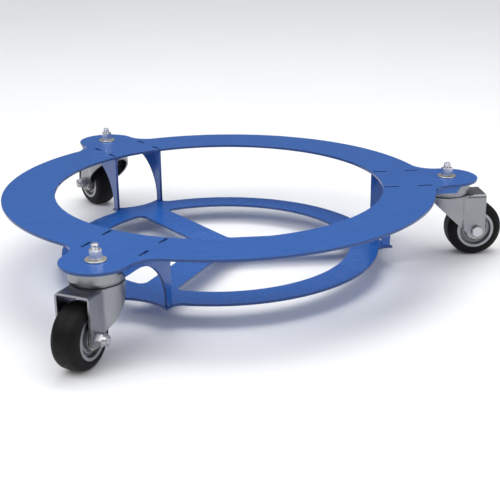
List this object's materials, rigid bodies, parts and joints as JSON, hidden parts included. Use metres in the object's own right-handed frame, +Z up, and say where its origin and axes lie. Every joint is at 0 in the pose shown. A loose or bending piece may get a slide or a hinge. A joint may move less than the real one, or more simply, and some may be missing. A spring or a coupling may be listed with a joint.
{
  "type": "drum dolly",
  "caption": "Three-eared ring dolly that holds a steel drum upright on a low plate and rolls on swivel casters.",
  "frame": {"origin": "centre of the lower plate's top face, where the drum stands", "axes": "+Z up, +X towards the first caster's swivel axis, +Y by the right-hand rule"},
  "size_m": [0.9462, 0.9582, 0.1824],
  "materials": {
    "deck_paint": "gloss powder coat, blue",
    "caster_zinc": "satin zinc-plated pressed steel",
    "bright_zinc": "bright zinc-plated fasteners",
    "bearing_steel": "ground bearing steel",
    "wheel_zinc": "satin grey wheel core",
    "tyre_rubber": "matt black rubber"
  },
  "bodies": {
    "deck": {"top_ring": "deck_paint", "base_plate": "deck_paint", "gusset_1_left": "deck_paint", "gusset_1_right": "deck_paint", "gusset_2_left": "deck_paint", "gusset_2_right": "deck_paint", "gusset_3_left": "deck_paint", "gusset_3_right": "deck_paint", "caster_stem_1": "bright_zinc", "stem_washer_1": "bright_zinc", "stem_nut_1": "bright_zinc", "swivel_cap_1": "caster_zinc", "lower_race_1": "caster_zinc", "caster_stem_2": "bright_zinc", "stem_washer_2": "bright_zinc", "stem_nut_2": "bright_zinc", "swivel_cap_2": "caster_zinc", "lower_race_2": "caster_zinc", "caster_stem_3": "bright_zinc", "stem_washer_3": "bright_zinc", "stem_nut_3": "bright_zinc", "swivel_cap_3": "caster_zinc", "lower_race_3": "caster_zinc"},
    "swivel_1": {"fork_1": "caster_zinc", "swivel_balls_1": "bearing_steel", "axle_bolt_1": "bright_zinc", "axle_nut_1": "bright_zinc", "axle_sleeve_1": "bearing_steel", "thrust_washers_1": "caster_zinc"},
    "wheel_1": {"wheel_core_1": "wheel_zinc", "tyre_1": "tyre_rubber", "roller_bearing_1": "bearing_steel"},
    "swivel_2": {"fork_2": "caster_zinc", "swivel_balls_2": "bearing_steel", "axle_bolt_2": "bright_zinc", "axle_nut_2": "bright_zinc", "axle_sleeve_2": "bearing_steel", "thrust_washers_2": "caster_zinc"},
    "wheel_2": {"wheel_core_2": "wheel_zinc", "tyre_2": "tyre_rubber", "roller_bearing_2": "bearing_steel"},
    "swivel_3": {"fork_3": "caster_zinc", "swivel_balls_3": "bearing_steel", "axle_bolt_3": "bright_zinc", "axle_nut_3": "bright_zinc", "axle_sleeve_3": "bearing_steel", "thrust_washers_3": "caster_zinc"},
    "wheel_3": {"wheel_core_3": "wheel_zinc", "tyre_3": "tyre_rubber", "roller_bearing_3": "bearing_steel"}
  },
  "joints": [
    {"name": "caster_1_swivel", "type": "hinge", "parent": "deck", "child": "swivel_1", "pos_m": [0.4363, 0, 0.0846], "axis": [0, 0, 1], "continuous": true},
    {"name": "caster_1_roll", "type": "hinge", "parent": "swivel_1", "child": "wheel_1", "pos_m": [0.4923, 0, 0.0133], "axis": [0, 1, 0], "continuous": true},
    {"name": "caster_2_swivel", "type": "hinge", "parent": "deck", "child": "swivel_2", "pos_m": [-0.21815, 0.37785, 0.0846], "axis": [0, 0, 1], "continuous": true},
    {"name": "caster_2_roll", "type": "hinge", "parent": "swivel_2", "child": "wheel_2", "pos_m": [-0.24615, 0.42634, 0.0133], "axis": [-0.866, -0.5, 0], "continuous": true},
    {"name": "caster_3_swivel", "type": "hinge", "parent": "deck", "child": "swivel_3", "pos_m": [-0.21815, -0.37785, 0.0846], "axis": [0, 0, 1], "continuous": true},
    {"name": "caster_3_roll", "type": "hinge", "parent": "swivel_3", "child": "wheel_3", "pos_m": [-0.24615, -0.42634, 0.0133], "axis": [0.866, -0.5, 0], "continuous": true}
  ]
}
